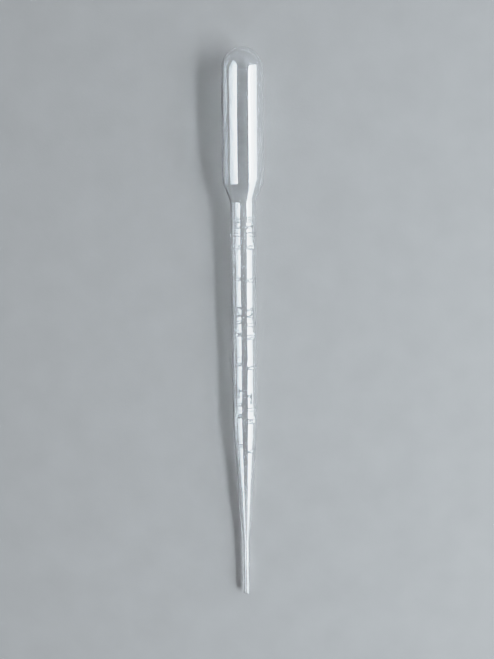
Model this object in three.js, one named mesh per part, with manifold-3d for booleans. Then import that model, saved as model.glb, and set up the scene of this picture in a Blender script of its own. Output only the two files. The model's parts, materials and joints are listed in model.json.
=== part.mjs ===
// A disposable medicine dropper: one thin polyethylene blow moulding with a squeeze bulb,
// a graduated stem and a fine tip. Millimetres, +Z up.
//
// It lies on a table, the bulb end towards +Y and the tip towards -Y, resting on the edge of the
// bulb's shoulder and on the lower end of the stem. The origin is on the table, under the middle
// of the bounding box. Before it is leaned, the axis runs along Y from the top of the bulb, and
// every place along it is a distance from there.

import * as THREE from 'three';
import { mergeVertices } from 'three/addons/utils/BufferGeometryUtils.js';
import Module from 'manifold-3d';

const wasm = await Module();
wasm.setup();

// ---- Driving dimensions ----

const length = 165;
const domeHeight = 6.4;
const domeSquareness = 2.15;        // exponent of the dome's superellipse: 2 is an ellipse
const bulbRadius = 6.0;
const bulbWall = 0.55;
const shoulderStart = 37.6;
const shoulderEnd = 43.2;
const neckRadius = 3.72;
const stemWall = 0.45;
const taperStart = 111.4;
const stemEndRadius = 3.62;
const taperEnd = 147.8;
const tipRadius = 1.17;
const boreRadius = 0.48;
const shoulderRound = 1.3;          // how far each rounded corner reaches along the axis
const neckRound = 1.1;
const stemEndRound = 2.6;
const tipRound = 1.6;

const sides = 24;                   // flats around every round piece, one of them on the table
const gap = 0.04;                   // between neighbouring solids

const gripHalfHeight = 3.9;         // the walls pressed by thumb and finger lie within this

const markHeight = 0.15;            // how far the graduations stand proud of the stem
const barWidth = 0.8;
const wholeBarStart = 0.85;         // sideways from the stem's middle line
const halfBarStart = 1.3;
const barEndHeight = 0.7;           // the bars end this high above the stem's middle plane
const strokeWidth = 0.42;
const numeral = { width: 2.1, height: 3.4, start: 0.8, aboveMark: 1.65 };
const letter = { height: 2.4, lowHeight: 1.6, start: 1.0, belowMark: 2.1, mWidth: 1.7, space: 0.3 };

// The graduations, by distance from the top of the bulb. A whole millilitre has its figure.
const graduations = [
  { name: '3_ml', at: 52.7, figure: 'three' },
  { name: '2_5_ml', at: 66.1 },
  { name: '2_ml', at: 79.2, figure: 'two' },
  { name: '1_5_ml', at: 92.2 },
  { name: '1_ml', at: 104.9, figure: 'one' },
  { name: '0_5_ml', at: 118.0 },
];

// ---- Outline: straight stretches joined by rounded corners ----

const stations = [
  { at: domeHeight, radius: bulbRadius, wall: bulbWall, round: 0 },
  { at: shoulderStart, radius: bulbRadius, wall: bulbWall, round: shoulderRound },
  { at: shoulderEnd, radius: neckRadius, wall: stemWall, round: neckRound },
  { at: taperStart, radius: stemEndRadius, wall: stemWall, round: stemEndRound },
  { at: taperEnd, radius: tipRadius, wall: tipRadius - boreRadius, round: tipRound },
  { at: length, radius: tipRadius, wall: tipRadius - boreRadius, round: 0 },
];

// Rises from 0 with slope 1, the corner rounded by a parabola over a reach to both sides.
const roundedRamp = (x, reach) => {
  if (x <= -reach) return 0;
  if (x >= reach) return x;
  return (x + reach) ** 2 / (4 * reach);
};

const along = (property, at) => {
  let value = stations[0][property];
  let slopeBefore = 0;
  stations.slice(0, -1).forEach((from, i) => {
    const to = stations[i + 1];
    const slope = (to[property] - from[property]) / (to.at - from.at);
    value += (slope - slopeBefore) * roundedRamp(at - from.at, from.round);
    slopeBefore = slope;
  });
  return value;
};

const outerRadius = (at) => along('radius', at);
const innerRadius = (at) => outerRadius(at) - along('wall', at);

// The distances that a stretch of the outline needs: its ends, and steps around each corner.
const distancesBetween = (from, to) => {
  const steps = [-1, -0.4, 0.2, 1];
  const corners = stations.flatMap((s) => steps.map((step) => s.at + step * s.round));
  const inside = corners.filter((at) => at > from + gap && at < to - gap);
  return [from, ...new Set(inside), to];
};

// ---- Solids ----

// Turns an outline of [radius, distance] points, with the flats at the true radius.
const turn = (outline) => {
  const toCorner = 1 / Math.cos(Math.PI / sides);
  const points = outline.map(([radius, at]) => new THREE.Vector2(radius * toCorner, -at));
  return new THREE.LatheGeometry(points, sides, Math.PI / sides);
};

// A ring between two radii that follow the outline.
const sleeve = (from, to, inner = innerRadius, outer = outerRadius) => {
  const places = distancesBetween(from, to);
  const outside = places.toReversed().map((at) => [outer(at), at]);
  const inside = places.map((at) => [inner(at), at]);
  return turn([...outside, ...inside, outside[0]]);
};

const toSolid = (geometry) => {
  const bare = new THREE.BufferGeometry();
  bare.setAttribute('position', geometry.attributes.position);
  bare.setIndex(geometry.index);
  const merged = mergeVertices(bare, 1e-4);
  const vertProperties = merged.attributes.position.array;
  const triVerts = Uint32Array.from(merged.index.array);
  return new wasm.Manifold(new wasm.Mesh({ numProp: 3, vertProperties, triVerts }));
};

const toGeometry = (solid) => {
  const mesh = solid.getMesh();
  const geometry = new THREE.BufferGeometry();
  geometry.setAttribute('position', new THREE.BufferAttribute(mesh.vertProperties, 3));
  geometry.setIndex(new THREE.BufferAttribute(mesh.triVerts, 1));
  geometry.computeVertexNormals();
  return geometry;
};

const box = (low, high) => {
  const size = high.map((value, i) => value - low[i]);
  const geometry = new THREE.BoxGeometry(...size);
  geometry.translate(...low.map((value, i) => value + size[i] / 2));
  return toSolid(geometry);
};

// ---- Bulb ----

const dome = () => {
  const steps = 7;
  const power = 2 / domeSquareness;
  const arc = (radius, height, top) => Array.from({ length: steps + 1 }, (_, i) => {
    const angle = (i / steps) * (Math.PI / 2);
    const across = i === 0 ? 0 : radius * Math.sin(angle) ** power;
    const down = i === steps ? height : height * (1 - Math.cos(angle) ** power);
    return [across, top + down];
  });
  const inside = arc(bulbRadius - bulbWall, domeHeight - bulbWall, bulbWall);
  const outside = arc(bulbRadius, domeHeight, 0);
  return turn([...inside, ...outside.toReversed()]);
};

// The bulb's cylindrical wall in four strips: the two at the sides are pressed in towards each
// other, so they lie between two planes that the front and back strips stay outside.
const wallEnd = shoulderStart - shoulderRound;
const bulbWalls = () => {
  const tube = toSolid(sleeve(domeHeight + gap, wallEnd - gap));
  const far = 2 * bulbRadius;
  const still = gripHalfHeight + gap / 2;
  const moving = gripHalfHeight - gap / 2;
  const strips = {
    bulb_front_wall: box([-far, -length, still], [far, 0, far]),
    bulb_back_wall: box([-far, -length, -far], [far, 0, -still]),
    bulb_right_wall: box([0, -length, -moving], [far, 0, moving]),
    bulb_left_wall: box([-far, -length, -moving], [0, 0, moving]),
  };
  return Object.entries(strips).map(([name, strip]) => [name, toGeometry(tube.intersect(strip))]);
};

// ---- Graduations ----

// The flat outline of a stroke of even width along a line of points.
const strokeShape = (points) => {
  const line = points.map(([x, y]) => new THREE.Vector2(x, y));
  const side = (sign) => line.map((point, i) => {
    const before = line[Math.max(i - 1, 0)];
    const after = line[Math.min(i + 1, line.length - 1)];
    const forward = after.clone().sub(before).normalize();
    const own = line[i === 0 ? 1 : i].clone().sub(line[i === 0 ? 0 : i - 1]).normalize();
    const reach = (sign * strokeWidth) / 2 / forward.dot(own);
    return new THREE.Vector2(point.x - forward.y * reach, point.y + forward.x * reach);
  });
  return new THREE.Shape([...side(-1), ...side(1).reverse()]);
};

const arcPoints = (x, y, radius, fromDegrees, toDegrees, steps) => (
  Array.from({ length: steps + 1 }, (_, i) => {
    const angle = THREE.MathUtils.degToRad(fromDegrees + ((toDegrees - fromDegrees) * i) / steps);
    return [x + radius * Math.cos(angle), y + radius * Math.sin(angle)];
  })
);

// Each figure and letter as the middle lines of its strokes, its lower left corner at 0, 0.
const half = strokeWidth / 2;
const glyphs = {
  one: () => {
    const middle = numeral.width / 2;
    const top = numeral.height;
    return [
      [[middle, 0], [middle, top]],
      [[middle, top - half], [middle - 0.8, top - 0.9]],
    ];
  },
  two: () => {
    const radius = numeral.width / 2 - half;
    const bowl = arcPoints(numeral.width / 2, numeral.height - half - radius, radius, 170, -35, 6);
    return [
      [...bowl, [half, half]],
      [[0, half], [numeral.width, half]],
    ];
  },
  three: () => {
    const right = numeral.width - half;
    const radius = 0.86;
    const waist = [radius, half + 2 * radius];
    return [
      [[0, numeral.height - half], [numeral.width, numeral.height - half]],
      [[right, numeral.height - half], waist],
      arcPoints(radius, half + radius, radius, 115, -145, 7),
    ];
  },
  m: () => {
    const pitch = letter.mWidth / 2 - half;
    const rise = letter.lowHeight - half - pitch / 2;
    const arch = (left) => [
      ...arcPoints(left + pitch / 2, rise, pitch / 2, 165, 0, 4),
      [left + pitch, 0],
    ];
    return [
      [[half, 0], [half, letter.lowHeight]],
      arch(half),
      arch(half + pitch),
    ];
  },
  l: () => [[[half, 0], [half, letter.height]]],
};

// A sleeve just proud of the stem: marks are what flat shapes cut out of it.
const markSleeve = toSolid(sleeve(
  shoulderEnd + neckRound,
  taperEnd - tipRound,
  (at) => outerRadius(at) + gap,
  (at) => outerRadius(at) + markHeight,
));

const bar = (mark) => {
  const left = mark.figure ? wholeBarStart : halfBarStart;
  const far = 2 * bulbRadius;
  const cutter = box(
    [left, -mark.at - barWidth / 2, barEndHeight],
    [far, -mark.at + barWidth / 2, far],
  );
  return markSleeve.intersect(cutter);
};

// A figure or letter pressed straight down onto the stem, its lower left corner at a place.
const glyph = (name, left, bottom) => {
  const strokes = glyphs[name]().map((points) => {
    const geometry = new THREE.ExtrudeGeometry(strokeShape(points), {
      depth: 2 * bulbRadius,
      bevelEnabled: false,
      curveSegments: 1,
    });
    return toSolid(geometry.translate(left, bottom, barEndHeight));
  });
  const joined = strokes.reduce((all, stroke) => all.add(stroke));
  return markSleeve.intersect(joined);
};

// The marks of one side of the stem, as [name, solid] pairs.
const scale = () => graduations.flatMap((mark) => {
  const marks = [[`bar_${mark.name}`, bar(mark)]];
  if (mark.figure) {
    const figureFoot = -mark.at + numeral.aboveMark;
    const letterFoot = -mark.at - letter.belowMark - letter.height;
    const lStart = letter.start + letter.mWidth + letter.space;
    marks.push([`figure_${mark.name}`, glyph(mark.figure, numeral.start, figureFoot)]);
    marks.push([`letter_m_${mark.name}`, glyph('m', letter.start, letterFoot)]);
    marks.push([`letter_l_${mark.name}`, glyph('l', lStart, letterFoot)]);
  }
  return marks;
});

// ---- Assembly ----

const dropper = new THREE.Group();

const add = (name, geometry) => {
  const material = new THREE.MeshStandardMaterial({
    color: 0xdfe6ea,
    roughness: 0.2,
    metalness: 0,
    transparent: true,
    opacity: 0.45,
  });
  const mesh = new THREE.Mesh(geometry, material);
  mesh.name = name;
  dropper.add(mesh);
  return mesh;
};

add('bulb_dome', dome());
bulbWalls().forEach(([name, geometry]) => add(name, geometry));
add('bulb_shoulder', sleeve(wallEnd, shoulderEnd + neckRound));
add('stem_barrel', sleeve(shoulderEnd + neckRound + gap, taperStart));
add('stem_taper', sleeve(taperStart + gap, taperEnd));
add('tip_tube', sleeve(taperEnd + gap, length));

// The same scale stands on both faces of the stem, half a turn apart.
scale().forEach(([name, solid]) => {
  add(`front_${name}`, toGeometry(solid));
  add(`back_${name}`, toGeometry(solid)).rotation.y = Math.PI;
});

// Lean it until the bulb's shoulder and the stem both touch the table.
const shoulderEdge = outerRadius(wallEnd);
const fall = distancesBetween(shoulderEnd, length)
  .map((at) => (shoulderEdge - outerRadius(at)) / (at - wallEnd));
dropper.rotation.x = Math.atan(Math.min(...fall));

const extent = new THREE.Box3().setFromObject(dropper, true);
const middle = extent.getCenter(new THREE.Vector3());
dropper.position.set(-middle.x, -middle.y, -extent.min.z);

export default dropper;
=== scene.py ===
"""A disposable medicine dropper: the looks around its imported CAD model. Metres, +Z up.

The dropper is one blow moulding of clear polyethylene. Its skin is built here as smooth turned
shells with an outer and an inner surface, so that light bends and glints in a real wall. Every
place along the dropper is its distance from the top of the bulb, measured down the axis.
"""

import json
import math

import bpy
import numpy as np
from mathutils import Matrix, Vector


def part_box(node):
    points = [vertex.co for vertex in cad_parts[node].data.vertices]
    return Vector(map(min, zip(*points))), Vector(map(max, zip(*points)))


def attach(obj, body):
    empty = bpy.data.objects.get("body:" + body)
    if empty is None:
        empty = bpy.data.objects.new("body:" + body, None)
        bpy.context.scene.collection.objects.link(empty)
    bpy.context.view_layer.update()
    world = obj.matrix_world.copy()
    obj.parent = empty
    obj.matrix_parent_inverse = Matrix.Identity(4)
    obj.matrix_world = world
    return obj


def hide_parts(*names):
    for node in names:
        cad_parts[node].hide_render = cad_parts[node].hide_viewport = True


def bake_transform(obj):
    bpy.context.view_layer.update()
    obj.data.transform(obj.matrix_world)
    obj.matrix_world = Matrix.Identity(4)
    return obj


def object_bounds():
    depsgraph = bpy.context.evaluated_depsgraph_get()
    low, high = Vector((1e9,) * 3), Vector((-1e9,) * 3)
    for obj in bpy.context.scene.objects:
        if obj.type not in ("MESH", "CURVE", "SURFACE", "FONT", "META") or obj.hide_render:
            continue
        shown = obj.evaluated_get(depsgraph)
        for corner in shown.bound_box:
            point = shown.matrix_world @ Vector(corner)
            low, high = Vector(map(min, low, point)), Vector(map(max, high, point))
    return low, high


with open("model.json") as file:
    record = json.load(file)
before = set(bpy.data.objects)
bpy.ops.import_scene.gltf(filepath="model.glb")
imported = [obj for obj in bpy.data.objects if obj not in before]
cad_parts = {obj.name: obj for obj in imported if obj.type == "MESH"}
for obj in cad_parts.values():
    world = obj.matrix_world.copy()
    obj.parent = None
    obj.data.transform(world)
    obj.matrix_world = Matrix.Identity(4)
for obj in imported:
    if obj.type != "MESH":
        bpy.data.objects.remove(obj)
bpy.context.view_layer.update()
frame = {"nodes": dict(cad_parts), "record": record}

MM = 0.001
FULL_TURN = 2 * math.pi


# ---- Where the dropper lies, from the frame ----

tip_mount = next(m for m in frame["record"]["mounts"] if m["name"] == "tip_end")
ALONG = np.array(tip_mount["axis"], float)
ALONG /= np.linalg.norm(ALONG)
SIDE = np.array([1.0, 0.0, 0.0])
UP = np.cross(SIDE, -ALONG)
TIP = np.array([0.0, tip_mount["pos_m"][1], tip_mount["pos_m"][2]])


def half_width(node):
    low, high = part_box(node)
    return (high.x - low.x) / 2


LENGTH = (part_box("bulb_dome")[1].y - TIP[1]) / -ALONG[1]
TOP = TIP - ALONG * LENGTH


# ---- Outline of the moulding ----

BULB_RADIUS = half_width("bulb_dome")
TIP_RADIUS = half_width("tip_tube")
NECK_RADIUS = half_width("stem_barrel")
STEM_END_RADIUS = 3.62 * MM
BORE_RADIUS = 0.48 * MM
BULB_WALL = 0.45 * MM
STEM_WALL = 0.3 * MM
TIP_WALL = TIP_RADIUS - BORE_RADIUS
DOME_HEIGHT = 6.4 * MM
DOME_POWER = 2 / 2.15               # of the superellipse: 1 would be an ellipse
SHOULDER_START = 37.6 * MM
SHOULDER_END = 43.2 * MM
TAPER_START = 111.4 * MM
TAPER_END = 147.8 * MM
SHOULDER_ROUND = 0.4 * MM           # how far each rounded corner reaches along the axis
NECK_ROUND = 0.4 * MM
STEM_END_ROUND = 2.6 * MM
TIP_ROUND = 1.6 * MM

BULB_END = 44.3 * MM                # where the bulb's pieces meet the stem
PINCH = 21.4 * MM                   # where thumb and finger press the bulb
STEM_MIDDLE = 70 * MM               # where the stem's two pieces meet, clear of the marks

AT, RADIUS, WALL, REACH = range(4)  # the columns: REACH is that of the rounded corner
STATIONS = [
    (DOME_HEIGHT, BULB_RADIUS, BULB_WALL, 0),
    (SHOULDER_START, BULB_RADIUS, BULB_WALL, SHOULDER_ROUND),
    (SHOULDER_END, NECK_RADIUS, STEM_WALL, NECK_ROUND),
    (TAPER_START, STEM_END_RADIUS, STEM_WALL, STEM_END_ROUND),
    (TAPER_END, TIP_RADIUS, TIP_WALL, TIP_ROUND),
    (LENGTH, TIP_RADIUS, TIP_WALL, 0),
]


def rounded_ramp(x, reach_each_way):
    """Rises from 0 with slope 1, the corner rounded by a parabola."""
    if reach_each_way == 0:
        return np.maximum(x, 0)
    rounded = (x + reach_each_way) ** 2 / (4 * reach_each_way)
    return np.where(x <= -reach_each_way, 0, np.where(x >= reach_each_way, x, rounded))


def follow(column, at):
    """The outer RADIUS or the WALL at distances down the axis."""
    value = np.full_like(at, STATIONS[0][column])
    slope_before = 0
    for start, end in zip(STATIONS, STATIONS[1:]):
        slope = (end[column] - start[column]) / (end[AT] - start[AT])
        value += (slope - slope_before) * rounded_ramp(at - start[AT], start[REACH])
        slope_before = slope
    return value


def outer_radius(at):
    return follow(RADIUS, at)


def inner_radius(at):
    return follow(RADIUS, at) - follow(WALL, at)


# ---- Graduations, raised on both faces of the stem ----

MARK_HEIGHT = 0.3 * MM
MARK_EDGE = 0.4 * MM                # how far a bar's edge slopes
STROKE = 0.7 * MM
HALF_STROKE = STROKE / 2
BAR_WIDTH = 0.8 * MM
WHOLE_BAR_START = 0.85 * MM
HALF_BAR_START = 1.3 * MM
BAR_END_HEIGHT = 0.7 * MM
FIGURE_WIDTH = 2.1 * MM
FIGURE_HEIGHT = 3.4 * MM
FIGURE_START = 0.8 * MM
FIGURE_ABOVE_BAR = 1.65 * MM
LETTER_HEIGHT = 2.4 * MM
LOW_LETTER_HEIGHT = 1.6 * MM
LETTER_START = 0.7 * MM
LETTER_BELOW_BAR = 2.1 * MM
M_WIDTH = 1.7 * MM
LETTER_SPACE = 0.1 * MM

# millilitres and the distance down the axis
GRADUATIONS = [
    (3.0, 52.7 * MM),
    (2.5, 66.1 * MM),
    (2.0, 79.2 * MM),
    (1.5, 92.2 * MM),
    (1.0, 104.9 * MM),
    (0.5, 118.0 * MM),
]


def arc(x, y, radius, start, end, steps):
    """Points round an arc, its ends in degrees."""
    angles = np.radians(np.linspace(start, end, steps + 1))
    return [(x + radius * math.cos(a), y + radius * math.sin(a)) for a in angles]


def figure_one():
    middle = FIGURE_WIDTH / 2
    top = FIGURE_HEIGHT - HALF_STROKE
    flag = (middle - 0.6 * MM, top - 0.55 * MM)
    return [[(middle, HALF_STROKE), (middle, top)], [(middle, top), flag]]


def figure_two():
    radius = FIGURE_WIDTH / 2 - HALF_STROKE
    bowl_height = FIGURE_HEIGHT - HALF_STROKE - radius
    bowl = arc(FIGURE_WIDTH / 2, bowl_height, radius, 165, -35, 10)
    base = [(HALF_STROKE, HALF_STROKE), (FIGURE_WIDTH - HALF_STROKE, HALF_STROKE)]
    return [bowl + base[:1], base]


def figure_three():
    right = FIGURE_WIDTH - HALF_STROKE
    top = FIGURE_HEIGHT - HALF_STROKE
    radius = 0.86 * MM
    waist = (radius, HALF_STROKE + 2 * radius)
    belly = arc(radius, HALF_STROKE + radius, radius, 115, -140, 12)
    return [[(HALF_STROKE, top), (right, top)], [(right, top), waist], belly]


def letter_m():
    pitch = M_WIDTH / 2 - HALF_STROKE
    rise = LOW_LETTER_HEIGHT - HALF_STROKE - pitch / 2
    stroke = [(HALF_STROKE, HALF_STROKE), (HALF_STROKE, LOW_LETTER_HEIGHT - HALF_STROKE)]
    arches = [
        arc(left + pitch / 2, rise, pitch / 2, 165, 0, 6) + [(left + pitch, HALF_STROKE)]
        for left in (HALF_STROKE, HALF_STROKE + pitch)
    ]
    return [stroke, *arches]


def letter_l():
    return [[(HALF_STROKE, HALF_STROKE), (HALF_STROKE, LETTER_HEIGHT - HALF_STROKE)]]


FIGURES = {3.0: figure_three, 2.0: figure_two, 1.0: figure_one}


def distance_to_stroke(x, y, line):
    """From points (x, y) to the nearest place on a line of points."""
    nearest = np.full_like(x, np.inf)
    for (x0, y0), (x1, y1) in zip(line, line[1:]):
        run, rise = x1 - x0, y1 - y0
        share = ((x - x0) * run + (y - y0) * rise) / (run * run + rise * rise)
        share = np.clip(share, 0, 1)
        distance = np.hypot(x - x0 - share * run, y - y0 - share * rise)
        nearest = np.minimum(nearest, distance)
    return nearest


def soft_step(inside):
    """1 well inside a mark, 0 well outside, from the signed distance to its edge."""
    share = np.clip(inside / MARK_EDGE + 0.5, 0, 1)
    return share * share * (3 - 2 * share)


def glyph_relief(x, y, strokes, left, bottom):
    """The relief of one figure or letter, worked out only for the points near it."""
    near = (x > left - STROKE) & (x < left + FIGURE_WIDTH + 2 * STROKE)
    near &= (y > bottom - STROKE) & (y < bottom + FIGURE_HEIGHT + STROKE)
    relief = np.zeros_like(x)
    local_x, local_y = x[near] - left, y[near] - bottom
    distance = np.full_like(local_x, np.inf)
    for line in strokes:
        distance = np.minimum(distance, distance_to_stroke(local_x, local_y, line))
    share = np.clip(distance / HALF_STROKE, 0, 1)
    relief[near] = (1 + np.cos(math.pi * share)) / 2
    return relief


def bar_relief(angle, at, start, bar_at):
    """angle is from the middle of the face towards the side that the bars are on."""
    radius = float(outer_radius(np.array([bar_at]))[0])
    first = math.asin(start / radius)
    last = math.acos(BAR_END_HEIGHT / radius)
    across = radius * (np.abs(angle - (first + last) / 2) - (last - first) / 2)
    lengthways = np.abs(at - bar_at) - BAR_WIDTH / 2
    outside = np.hypot(np.maximum(across, 0), np.maximum(lengthways, 0))
    return soft_step(-outside - np.minimum(np.maximum(across, lengthways), 0))


def face_relief(angle, at):
    """The marks of one face, as a share of their height. angle 0 is the middle of the face."""
    nowhere_near = -LENGTH
    x = np.where(np.cos(angle) > 0, outer_radius(at) * np.sin(angle), nowhere_near)
    relief = np.zeros_like(x)
    for volume, bar_at in GRADUATIONS:
        whole = volume in FIGURES
        start = WHOLE_BAR_START if whole else HALF_BAR_START
        relief = np.maximum(relief, bar_relief(angle, at, start, bar_at))
        if whole:
            y = bar_at - at
            marks = [
                (FIGURES[volume](), FIGURE_START, FIGURE_ABOVE_BAR),
                (letter_m(), LETTER_START, -LETTER_BELOW_BAR - LETTER_HEIGHT),
                (
                    letter_l(),
                    LETTER_START + M_WIDTH + LETTER_SPACE,
                    -LETTER_BELOW_BAR - LETTER_HEIGHT,
                ),
            ]
            for strokes, left, bottom in marks:
                relief = np.maximum(relief, glyph_relief(x, y, strokes, left, bottom))
    return relief


def marks_relief(angle, at):
    """angle is from the top of the dropper towards its right side, from -pi to pi."""
    back = np.where(angle > 0, angle - math.pi, angle + math.pi)
    return MARK_HEIGHT * np.maximum(face_relief(angle, at), face_relief(back, at))


# ---- The uneven wall of a blow moulding ----

INNER_UNEVENNESS = 0.003 * MM
OUTER_UNEVENNESS = 0.002 * MM
MOST_WAVES_ROUND = 6


def waves(angle, at, seed, count, longest, shortest):
    """Smooth unevenness of about -1 to 1, whole waves round the axis and free ones along it."""
    draw = np.random.default_rng(seed)
    total = np.zeros_like(angle)
    for _ in range(count):
        turns = draw.integers(1, MOST_WAVES_ROUND + 1)
        wavelength = draw.uniform(shortest, longest)
        phase = draw.uniform(0, FULL_TURN, 2)
        total += np.sin(turns * angle + phase[0]) * np.sin(FULL_TURN * at / wavelength + phase[1])
    return total / math.sqrt(count)


def inner_unevenness(angle, at):
    """Less where the bore narrows towards the tip."""
    openness = np.clip(inner_radius(at) / NECK_RADIUS, 0, 1)
    uneven = waves(angle, at, seed=11, count=14, longest=60 * MM, shortest=12 * MM)
    return INNER_UNEVENNESS * openness * uneven


def outer_unevenness(angle, at):
    uneven = waves(angle, at, seed=12, count=10, longest=60 * MM, shortest=14 * MM)
    return OUTER_UNEVENNESS * uneven


# ---- Turned shells ----

def place(radius, angle, at):
    """Points in the frame. angle 0 is up, and grows towards the right side."""
    across = SIDE * (radius * np.sin(angle))[..., None]
    upward = UP * (radius * np.cos(angle))[..., None]
    return TOP + ALONG * at[..., None] + across + upward


def grid_normals(points, pole):
    """Unit normals of a grid of rows round the axis, pointing away from the axis."""
    wrapped = np.concatenate([points[:, -1:], points, points[:, :1]], axis=1)
    around = wrapped[:, 2:] - wrapped[:, :-2]
    down = np.gradient(points, axis=0)
    normals = np.cross(down, around)
    if pole:
        normals[0] = -ALONG
    return normals / np.linalg.norm(normals, axis=2, keepdims=True)


def spread(stops, steps):
    """Numbers through all the stops, no further apart than each stretch's own step."""
    values = [np.array([stops[0]])]
    for start, end, step in zip(stops, stops[1:], steps):
        count = max(1, math.ceil((end - start) / step - 1e-6))
        values.append(np.linspace(start, end, count + 1)[1:])
    return np.concatenate(values)


class Solid:
    """Gathers the grids of one closed piece, with a normal for every corner."""

    def __init__(self):
        self.points = []
        self.normals = []
        self.faces = []
        self.slots = []
        self.flat = []

    def add_points(self, points, normals):
        first = sum(len(p) for p in self.points)
        self.points.append(points.reshape(-1, 3))
        self.normals.append(normals.reshape(-1, 3))
        return first + np.arange(points.size // 3).reshape(points.shape[:-1])

    def add_faces(self, index, outward, slot, flat=False):
        """Quads between the rows of an index grid, with triangles where corners coincide."""
        corners = [index[:-1, :-1], index[1:, :-1], index[1:, 1:], index[:-1, 1:]]
        if not outward:
            corners.reverse()
        quads = np.stack(corners, axis=-1).reshape(-1, 4)
        for quad in quads.tolist():
            face = list(dict.fromkeys(quad))
            if len(face) > 2:
                self.faces.append(face)
                self.slots.append(slot)
                self.flat.append(flat)

    def build(self, name, materials):
        sizes = [len(f) for f in self.faces]
        corner_vertex = np.fromiter((v for f in self.faces for v in f), int, sum(sizes))
        used, corner_vertex = np.unique(corner_vertex, return_inverse=True)
        points = np.concatenate(self.points)[used]
        normals = np.concatenate(self.normals)[used]
        ends = np.cumsum(sizes)
        faces = [corner_vertex[end - n : end].tolist() for end, n in zip(ends, sizes)]
        mesh = bpy.data.meshes.new(name)
        mesh.from_pydata(points.tolist(), [], faces)
        for material in materials:
            mesh.materials.append(material)
        mesh.polygons.foreach_set("material_index", self.slots)
        mesh.polygons.foreach_set("use_smooth", [not f for f in self.flat])
        face_normals = np.empty(len(faces) * 3, np.float32)
        mesh.polygons.foreach_get("normal", face_normals)
        face_normals = face_normals.reshape(-1, 3)
        corner_face = np.repeat(np.arange(len(faces)), sizes)
        corner_flat = np.repeat(self.flat, sizes)
        corner_normals = normals[corner_vertex]
        corner_normals[corner_flat] = face_normals[corner_face[corner_flat]]
        mesh.normals_split_custom_set(corner_normals.tolist())
        mesh.update()
        piece = bpy.data.objects.new(name, mesh)
        bpy.context.scene.collection.objects.link(piece)
        return piece


# ---- Materials ----

NOISE_LOW = 0.3                     # most of a noise lies between these two values
NOISE_HIGH = 0.7


def new_material(name):
    material = bpy.data.materials.new(name)
    material.use_nodes = True
    nodes = material.node_tree.nodes
    return material, nodes, material.node_tree.links, nodes["Principled BSDF"]


def noise(nodes, links, scale, stretch=(1, 1, 1), detail=2.0):
    """Noise in the object's own coordinates, with about scale cells to the metre.

    A small stretch draws it out along that axis.
    """
    coordinates = nodes.new("ShaderNodeTexCoord")
    mapping = nodes.new("ShaderNodeMapping")
    mapping.inputs["Scale"].default_value = stretch
    texture = nodes.new("ShaderNodeTexNoise")
    texture.inputs["Scale"].default_value = scale
    texture.inputs["Detail"].default_value = detail
    links.new(coordinates.outputs["Object"], mapping.inputs["Vector"])
    links.new(mapping.outputs["Vector"], texture.inputs["Vector"])
    return texture.outputs["Fac"]


def ranged(nodes, links, value, low, high):
    """A noise value spread over a range."""
    spread_node = nodes.new("ShaderNodeMapRange")
    spread_node.inputs["From Min"].default_value = NOISE_LOW
    spread_node.inputs["From Max"].default_value = NOISE_HIGH
    spread_node.inputs["To Min"].default_value = low
    spread_node.inputs["To Max"].default_value = high
    links.new(value, spread_node.inputs["Value"])
    return spread_node.outputs["Result"]


def bump(nodes, links, height, distance, strength):
    node = nodes.new("ShaderNodeBump")
    node.inputs["Distance"].default_value = distance
    node.inputs["Strength"].default_value = strength
    links.new(height, node.inputs["Height"])
    return node.outputs["Normal"]


def polyethylene():
    """Clear low-density polyethylene, with the faint lengthways streaks of its extrusion.

    The plastic's own index is 1.51. Light is traced here without polarisation, which leaves
    repeated glancing reflections too weak, and a higher index makes up for that.
    """
    material, nodes, links, shader = new_material("clear_polyethylene")
    shader.inputs["Base Color"].default_value = (0.985, 0.992, 1.0, 1)
    shader.inputs["Transmission Weight"].default_value = 0.985
    shader.inputs["IOR"].default_value = 1.61
    mottle = noise(nodes, links, scale=260)
    links.new(ranged(nodes, links, mottle, 0.015, 0.04), shader.inputs["Roughness"])
    streaks = noise(nodes, links, scale=900, stretch=(1, 0.03, 1))
    streak_normal = bump(nodes, links, streaks, distance=0.02 * MM, strength=0.5)
    links.new(streak_normal, shader.inputs["Normal"])
    return material


def seam_face():
    """Where two pieces of the one moulding meet inside its wall: nothing is seen there."""
    material, nodes, links, shader = new_material("inside_the_wall")
    clear = nodes.new("ShaderNodeBsdfTransparent")
    links.new(clear.outputs["BSDF"], nodes["Material Output"].inputs["Surface"])
    nodes.remove(shader)
    return material


def floor_surface():
    """A matt pale surface, faintly clouded and with a fine grain."""
    material, nodes, links, shader = new_material("pale_floor")
    shade = nodes.new("ShaderNodeMixRGB")
    shade.inputs["Color1"].default_value = (0.208, 0.199, 0.195, 1)
    shade.inputs["Color2"].default_value = (0.220, 0.211, 0.207, 1)
    clouds = noise(nodes, links, scale=90, detail=4)
    links.new(ranged(nodes, links, clouds, 0, 1), shade.inputs["Fac"])
    links.new(shade.outputs["Color"], shader.inputs["Base Color"])
    shader.inputs["Roughness"].default_value = 0.75
    shader.inputs["Specular IOR Level"].default_value = 0.2
    grain = noise(nodes, links, scale=1400, detail=3)
    grain_normal = bump(nodes, links, grain, distance=0.1 * MM, strength=0.15)
    links.new(grain_normal, shader.inputs["Normal"])
    return material


# ---- Pieces ----

BULB_COLUMNS = 128
TIP_COLUMNS = 96
PLASTIC, SEAM = 0, 1                # material slots of every piece
PIECE_MATERIALS = [polyethylene(), seam_face()]


def dome_profile(radius, height, top, steps):
    """The closed end's curve as (radius, distance down the axis)."""
    angle = np.linspace(0, math.pi / 2, steps + 1)
    across = radius * np.sin(angle) ** DOME_POWER
    down = height * (1 - np.cos(angle) ** DOME_POWER)
    return across, top + down


def ring_angles(columns):
    return np.linspace(-math.pi, math.pi, columns, endpoint=False)


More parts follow.
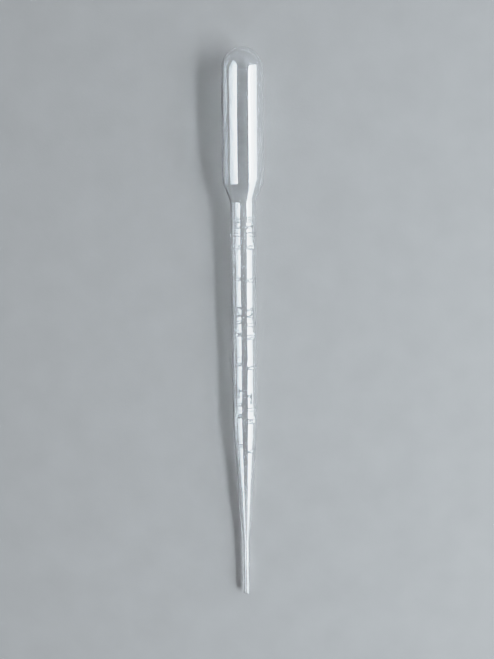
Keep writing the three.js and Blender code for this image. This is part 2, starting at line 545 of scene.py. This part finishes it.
def bulb_grids():
    """The bulb's outer and inner surfaces as rings of points, and the row where it is pinched."""
    dome_steps = 32
    rows = spread(
        [
            DOME_HEIGHT,
            PINCH,
            SHOULDER_START - SHOULDER_ROUND,
            SHOULDER_START + SHOULDER_ROUND,
            SHOULDER_END - NECK_ROUND,
            BULB_END,
        ],
        [0.7 * MM, 0.7 * MM, 0.15 * MM, 0.4 * MM, 0.15 * MM],
    )
    angles = ring_angles(BULB_COLUMNS)
    grids = []
    for outer in (True, False):
        wall = 0 if outer else BULB_WALL
        across, down = dome_profile(BULB_RADIUS - wall, DOME_HEIGHT - wall, wall, dome_steps)
        radius = outer_radius(rows) if outer else inner_radius(rows)
        radius = np.concatenate([across, radius[1:]])
        at = np.concatenate([down, rows[1:]])
        angle, at = np.meshgrid(angles, at)
        uneven = outer_unevenness(angle, at) if outer else inner_unevenness(angle, at)
        fade = np.clip(at / DOME_HEIGHT, 0, 1)    # none at the top, where all columns meet
        points = place(radius[:, None] + uneven * fade, angle, at)
        points[0] = TOP + ALONG * wall
        grids.append((points, grid_normals(points, pole=True)))
    pinch_row = dome_steps + int(np.argmin(np.abs(rows - PINCH)))
    return grids, pinch_row


def bulb_quarter(name, grids, rows, right):
    """A quarter of the bulb: rows of one side, closed where it meets its neighbours."""
    quarter = BULB_COLUMNS // 2
    first = quarter if right else 0
    columns = (np.arange(quarter + 1) + first) % BULB_COLUMNS
    solid = Solid()
    index = []
    for sign, (points, normals) in zip((1, -1), grids):
        block = np.ix_(rows, columns)
        grid = solid.add_points(points[block], sign * normals[block])
        if rows[0] == 0:
            grid[0] = grid[0, 0]
        solid.add_faces(grid, sign > 0, PLASTIC)
        index.append(grid)
    outer, inner = index
    solid.add_faces(np.stack([outer[-1], inner[-1]]), True, SEAM, flat=True)
    if rows[0] != 0:
        solid.add_faces(np.stack([inner[0], outer[0]]), True, SEAM, flat=True)
    solid.add_faces(np.stack([outer[:, 0], inner[:, 0]]), True, SEAM, flat=True)
    solid.add_faces(np.stack([inner[:, -1], outer[:, -1]]), True, SEAM, flat=True)
    return solid.build(name, PIECE_MATERIALS)


def blend_quarter(piece):
    """Bakes the quarter's placement into its own points."""
    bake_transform(piece)


def make_bulb():
    grids, pinch_row = bulb_grids()
    last_row = len(grids[0][0]) - 1
    halves = {"upper": np.arange(pinch_row + 1), "lower": np.arange(pinch_row, last_row + 1)}
    replaced = {
        ("right", "upper"): ["bulb_right_wall", "bulb_front_wall"],
        ("left", "upper"): ["bulb_left_wall", "bulb_dome"],
        ("right", "lower"): ["bulb_shoulder"],
        ("left", "lower"): ["bulb_back_wall"],
    }
    for (side, level), nodes in replaced.items():
        right = side == "right"
        piece = bulb_quarter(f"bulb_{side}_{level}", grids, halves[level], right)
        blend_quarter(piece)
        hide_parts(*nodes)


def stem_columns():
    """Angles round the stem, close together where the marks are."""
    fine, coarse = math.radians(1.6), math.radians(4)
    marks_start, marks_end = math.radians(8), math.radians(84)
    face = spread([0, marks_start, marks_end, math.pi], [coarse, fine, coarse])[:-1]
    return np.concatenate([face - math.pi, face])


def mark_rows(start, end):
    """Distances down the axis, close together where the marks are."""
    fine, coarse = 0.1 * MM, 0.5 * MM
    stops, steps = [start], []
    for volume, bar_at in GRADUATIONS:
        above, below = BAR_WIDTH / 2, BAR_WIDTH / 2
        if volume in FIGURES:
            above = FIGURE_ABOVE_BAR + FIGURE_HEIGHT
            below = LETTER_BELOW_BAR + LETTER_HEIGHT
        first, last = bar_at - above - MARK_EDGE, bar_at + below + MARK_EDGE
        if first > start and last < end:
            stops += [first, last]
            steps += [coarse, fine]
    return spread([*stops, end], [*steps, coarse])


def tube_piece(name, rows, angles, marked, end_slot):
    """A closed length of the moulding. Its wall keeps its thickness under the raised marks.

    end_slot is the material slot of its end towards the tip.
    """
    solid = Solid()
    index = []
    angle, at = np.meshgrid(angles, rows)
    relief = marks_relief(angle, at) if marked else 0
    for outer in (True, False):
        if outer:
            radius = outer_radius(at) + outer_unevenness(angle, at) + relief
        else:
            radius = inner_radius(at) + inner_unevenness(angle, at) + relief
        points = place(radius, angle, at)
        normals = grid_normals(points, pole=False) * (1 if outer else -1)
        grid = solid.add_points(points, normals)
        grid = np.concatenate([grid, grid[:, :1]], axis=1)
        solid.add_faces(grid, outer, PLASTIC)
        index.append(grid)
    outer, inner = index
    solid.add_faces(np.stack([inner[0], outer[0]]), True, SEAM, flat=True)
    solid.add_faces(np.stack([outer[-1], inner[-1]]), True, end_slot, flat=True)
    piece = solid.build(name, PIECE_MATERIALS)
    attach(piece, "moulding")
    return piece


def scale_nodes(*volumes):
    """The CAD nodes of the marks that belong to some of the graduations."""
    endings = tuple(f"_{volume:g}_ml".replace(".", "_") for volume in volumes)
    marks = [n for n in frame["nodes"] if n.startswith(("front_", "back_"))]
    return [n for n in marks if n.endswith(endings)]


def make_stem():
    upper = mark_rows(BULB_END, STEM_MIDDLE)
    lower = mark_rows(STEM_MIDDLE, TAPER_START)
    piece = tube_piece("stem_upper", upper, stem_columns(), marked=True, end_slot=SEAM)
    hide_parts("stem_barrel", *scale_nodes(3.0, 2.5))
    piece = tube_piece("stem_lower", lower, stem_columns(), marked=True, end_slot=SEAM)
    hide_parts(*scale_nodes(2.0, 1.5, 1.0))


def make_taper():
    bend = spread([TAPER_START, TAPER_START + STEM_END_ROUND], [0.2 * MM])
    rows = np.union1d(mark_rows(TAPER_START, TAPER_END), bend[1:])
    piece = tube_piece("taper", rows, stem_columns(), marked=True, end_slot=SEAM)
    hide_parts("stem_taper", *scale_nodes(0.5))


def make_tip():
    rows = spread([TAPER_END, TAPER_END + TIP_ROUND, LENGTH], [0.2 * MM, 1 * MM])
    piece = tube_piece("tip", rows, ring_angles(TIP_COLUMNS), marked=False, end_slot=PLASTIC)
    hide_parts("tip_tube")


# ---- Floor, light and camera ----

WINDOW_AWAY = 0.6                   # to the right of the dropper
WINDOW_START = -0.56
WINDOW_END = 0.29
WINDOW_COLOUR = (0.825, 0.935, 1.0)
ROOM_COLOUR = (0.96, 0.95, 1.0, 1)
ROOM_BRIGHTNESS = 0.25
FLOOR_REACH = 0.58                  # each way from the dropper

# name, its top and bottom edge in degrees from straight up, brightness
WINDOW_PANES = [
    ("window_sky", 35, 44, 38),
    ("window_middle", 44.3, 62, 11),
    ("window_low", 62.3, 86, 7.2),
]


def make_floor():
    """A table top that the dropper lies on, ending short of the window."""
    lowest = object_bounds()[0].z
    mesh = bpy.data.meshes.new("floor")
    corners = [
        (-FLOOR_REACH, -FLOOR_REACH, lowest),
        (FLOOR_REACH, -FLOOR_REACH, lowest),
        (FLOOR_REACH, FLOOR_REACH, lowest),
        (-FLOOR_REACH, FLOOR_REACH, lowest),
    ]
    mesh.from_pydata(corners, [], [(0, 1, 2, 3)])
    mesh.materials.append(floor_surface())
    floor = bpy.data.objects.new("floor", mesh)
    bpy.context.scene.collection.objects.link(floor)


def window_light(name, top, bottom, brightness):
    """A pane of the window, between two angles from straight up."""
    low, high = WINDOW_AWAY / math.tan(bottom), WINDOW_AWAY / math.tan(top)
    light = bpy.data.lights.new(name, "AREA")
    light.shape = "RECTANGLE"
    light.size = WINDOW_END - WINDOW_START
    light.size_y = high - low
    light.energy = brightness * math.pi * light.size * light.size_y
    light.color = WINDOW_COLOUR
    window = bpy.data.objects.new(name, light)
    window.location = (WINDOW_AWAY, (WINDOW_START + WINDOW_END) / 2, (low + high) / 2)
    window.rotation_euler = Vector((-1, 0, 0)).to_track_quat("-Z", "Y").to_euler()
    window.visible_camera = False
    bpy.context.scene.collection.objects.link(window)


def make_light():
    """A tall window to the right, brightest towards the sky, in a room of dim even light."""
    for name, top, bottom, brightness in WINDOW_PANES:
        window_light(name, math.radians(top), math.radians(bottom), brightness)

    world = bpy.data.worlds.new("room")
    world.use_nodes = True
    background = world.node_tree.nodes["Background"]
    background.inputs["Color"].default_value = ROOM_COLOUR
    background.inputs["Strength"].default_value = ROOM_BRIGHTNESS
    bpy.context.scene.world = world


def make_camera():
    """A hand's height above the dropper, looking down and a little towards its tip."""
    data = bpy.data.cameras.new("camera")
    data.sensor_width = 36
    data.lens = 36.05
    data.clip_start = 0.005
    camera = bpy.data.objects.new("camera", data)
    camera.location = (1.0 * MM, 21.9 * MM, 202.1 * MM)
    camera.rotation_euler = (math.radians(-5.88), 0, math.radians(-0.45))
    bpy.context.scene.collection.objects.link(camera)
    bpy.context.scene.camera = camera


# Light in the scene and how light it is shown: even at first, then held back near white
TONES = [(0.2, 0.2), (0.4, 0.4), (0.6, 0.58), (0.8, 0.71), (1.1, 0.82), (1.6, 0.89), (4.0, 0.99)]
COMBINED_CURVE = 3                  # after red, green and blue


def set_tones():
    """Keeps the window's reflections from burning out, as a photograph's tones do."""
    view = bpy.context.scene.view_settings
    view.view_transform = "Standard"
    view.use_curve_mapping = True
    brightest, shown_brightest = TONES[-1]
    view.curve_mapping.white_level = (brightest, brightest, brightest)
    curve = view.curve_mapping.curves[COMBINED_CURVE]
    curve.points[1].location = (1, shown_brightest)
    for light, shown in TONES[:-1]:
        curve.points.new(light / brightest, shown)
    view.curve_mapping.update()


def set_light_paths():
    """Enough bounces for light to cross both walls, and shadows that the plastic lets through."""
    cycles = bpy.context.scene.cycles
    cycles.max_bounces = 24
    cycles.glossy_bounces = 16
    cycles.transmission_bounces = 24
    cycles.blur_glossy = 0
    cycles.sample_clamp_indirect = 20


set_tones()
set_light_paths()
make_camera()
make_light()
make_bulb()
make_stem()
make_taper()
make_tip()
make_floor()
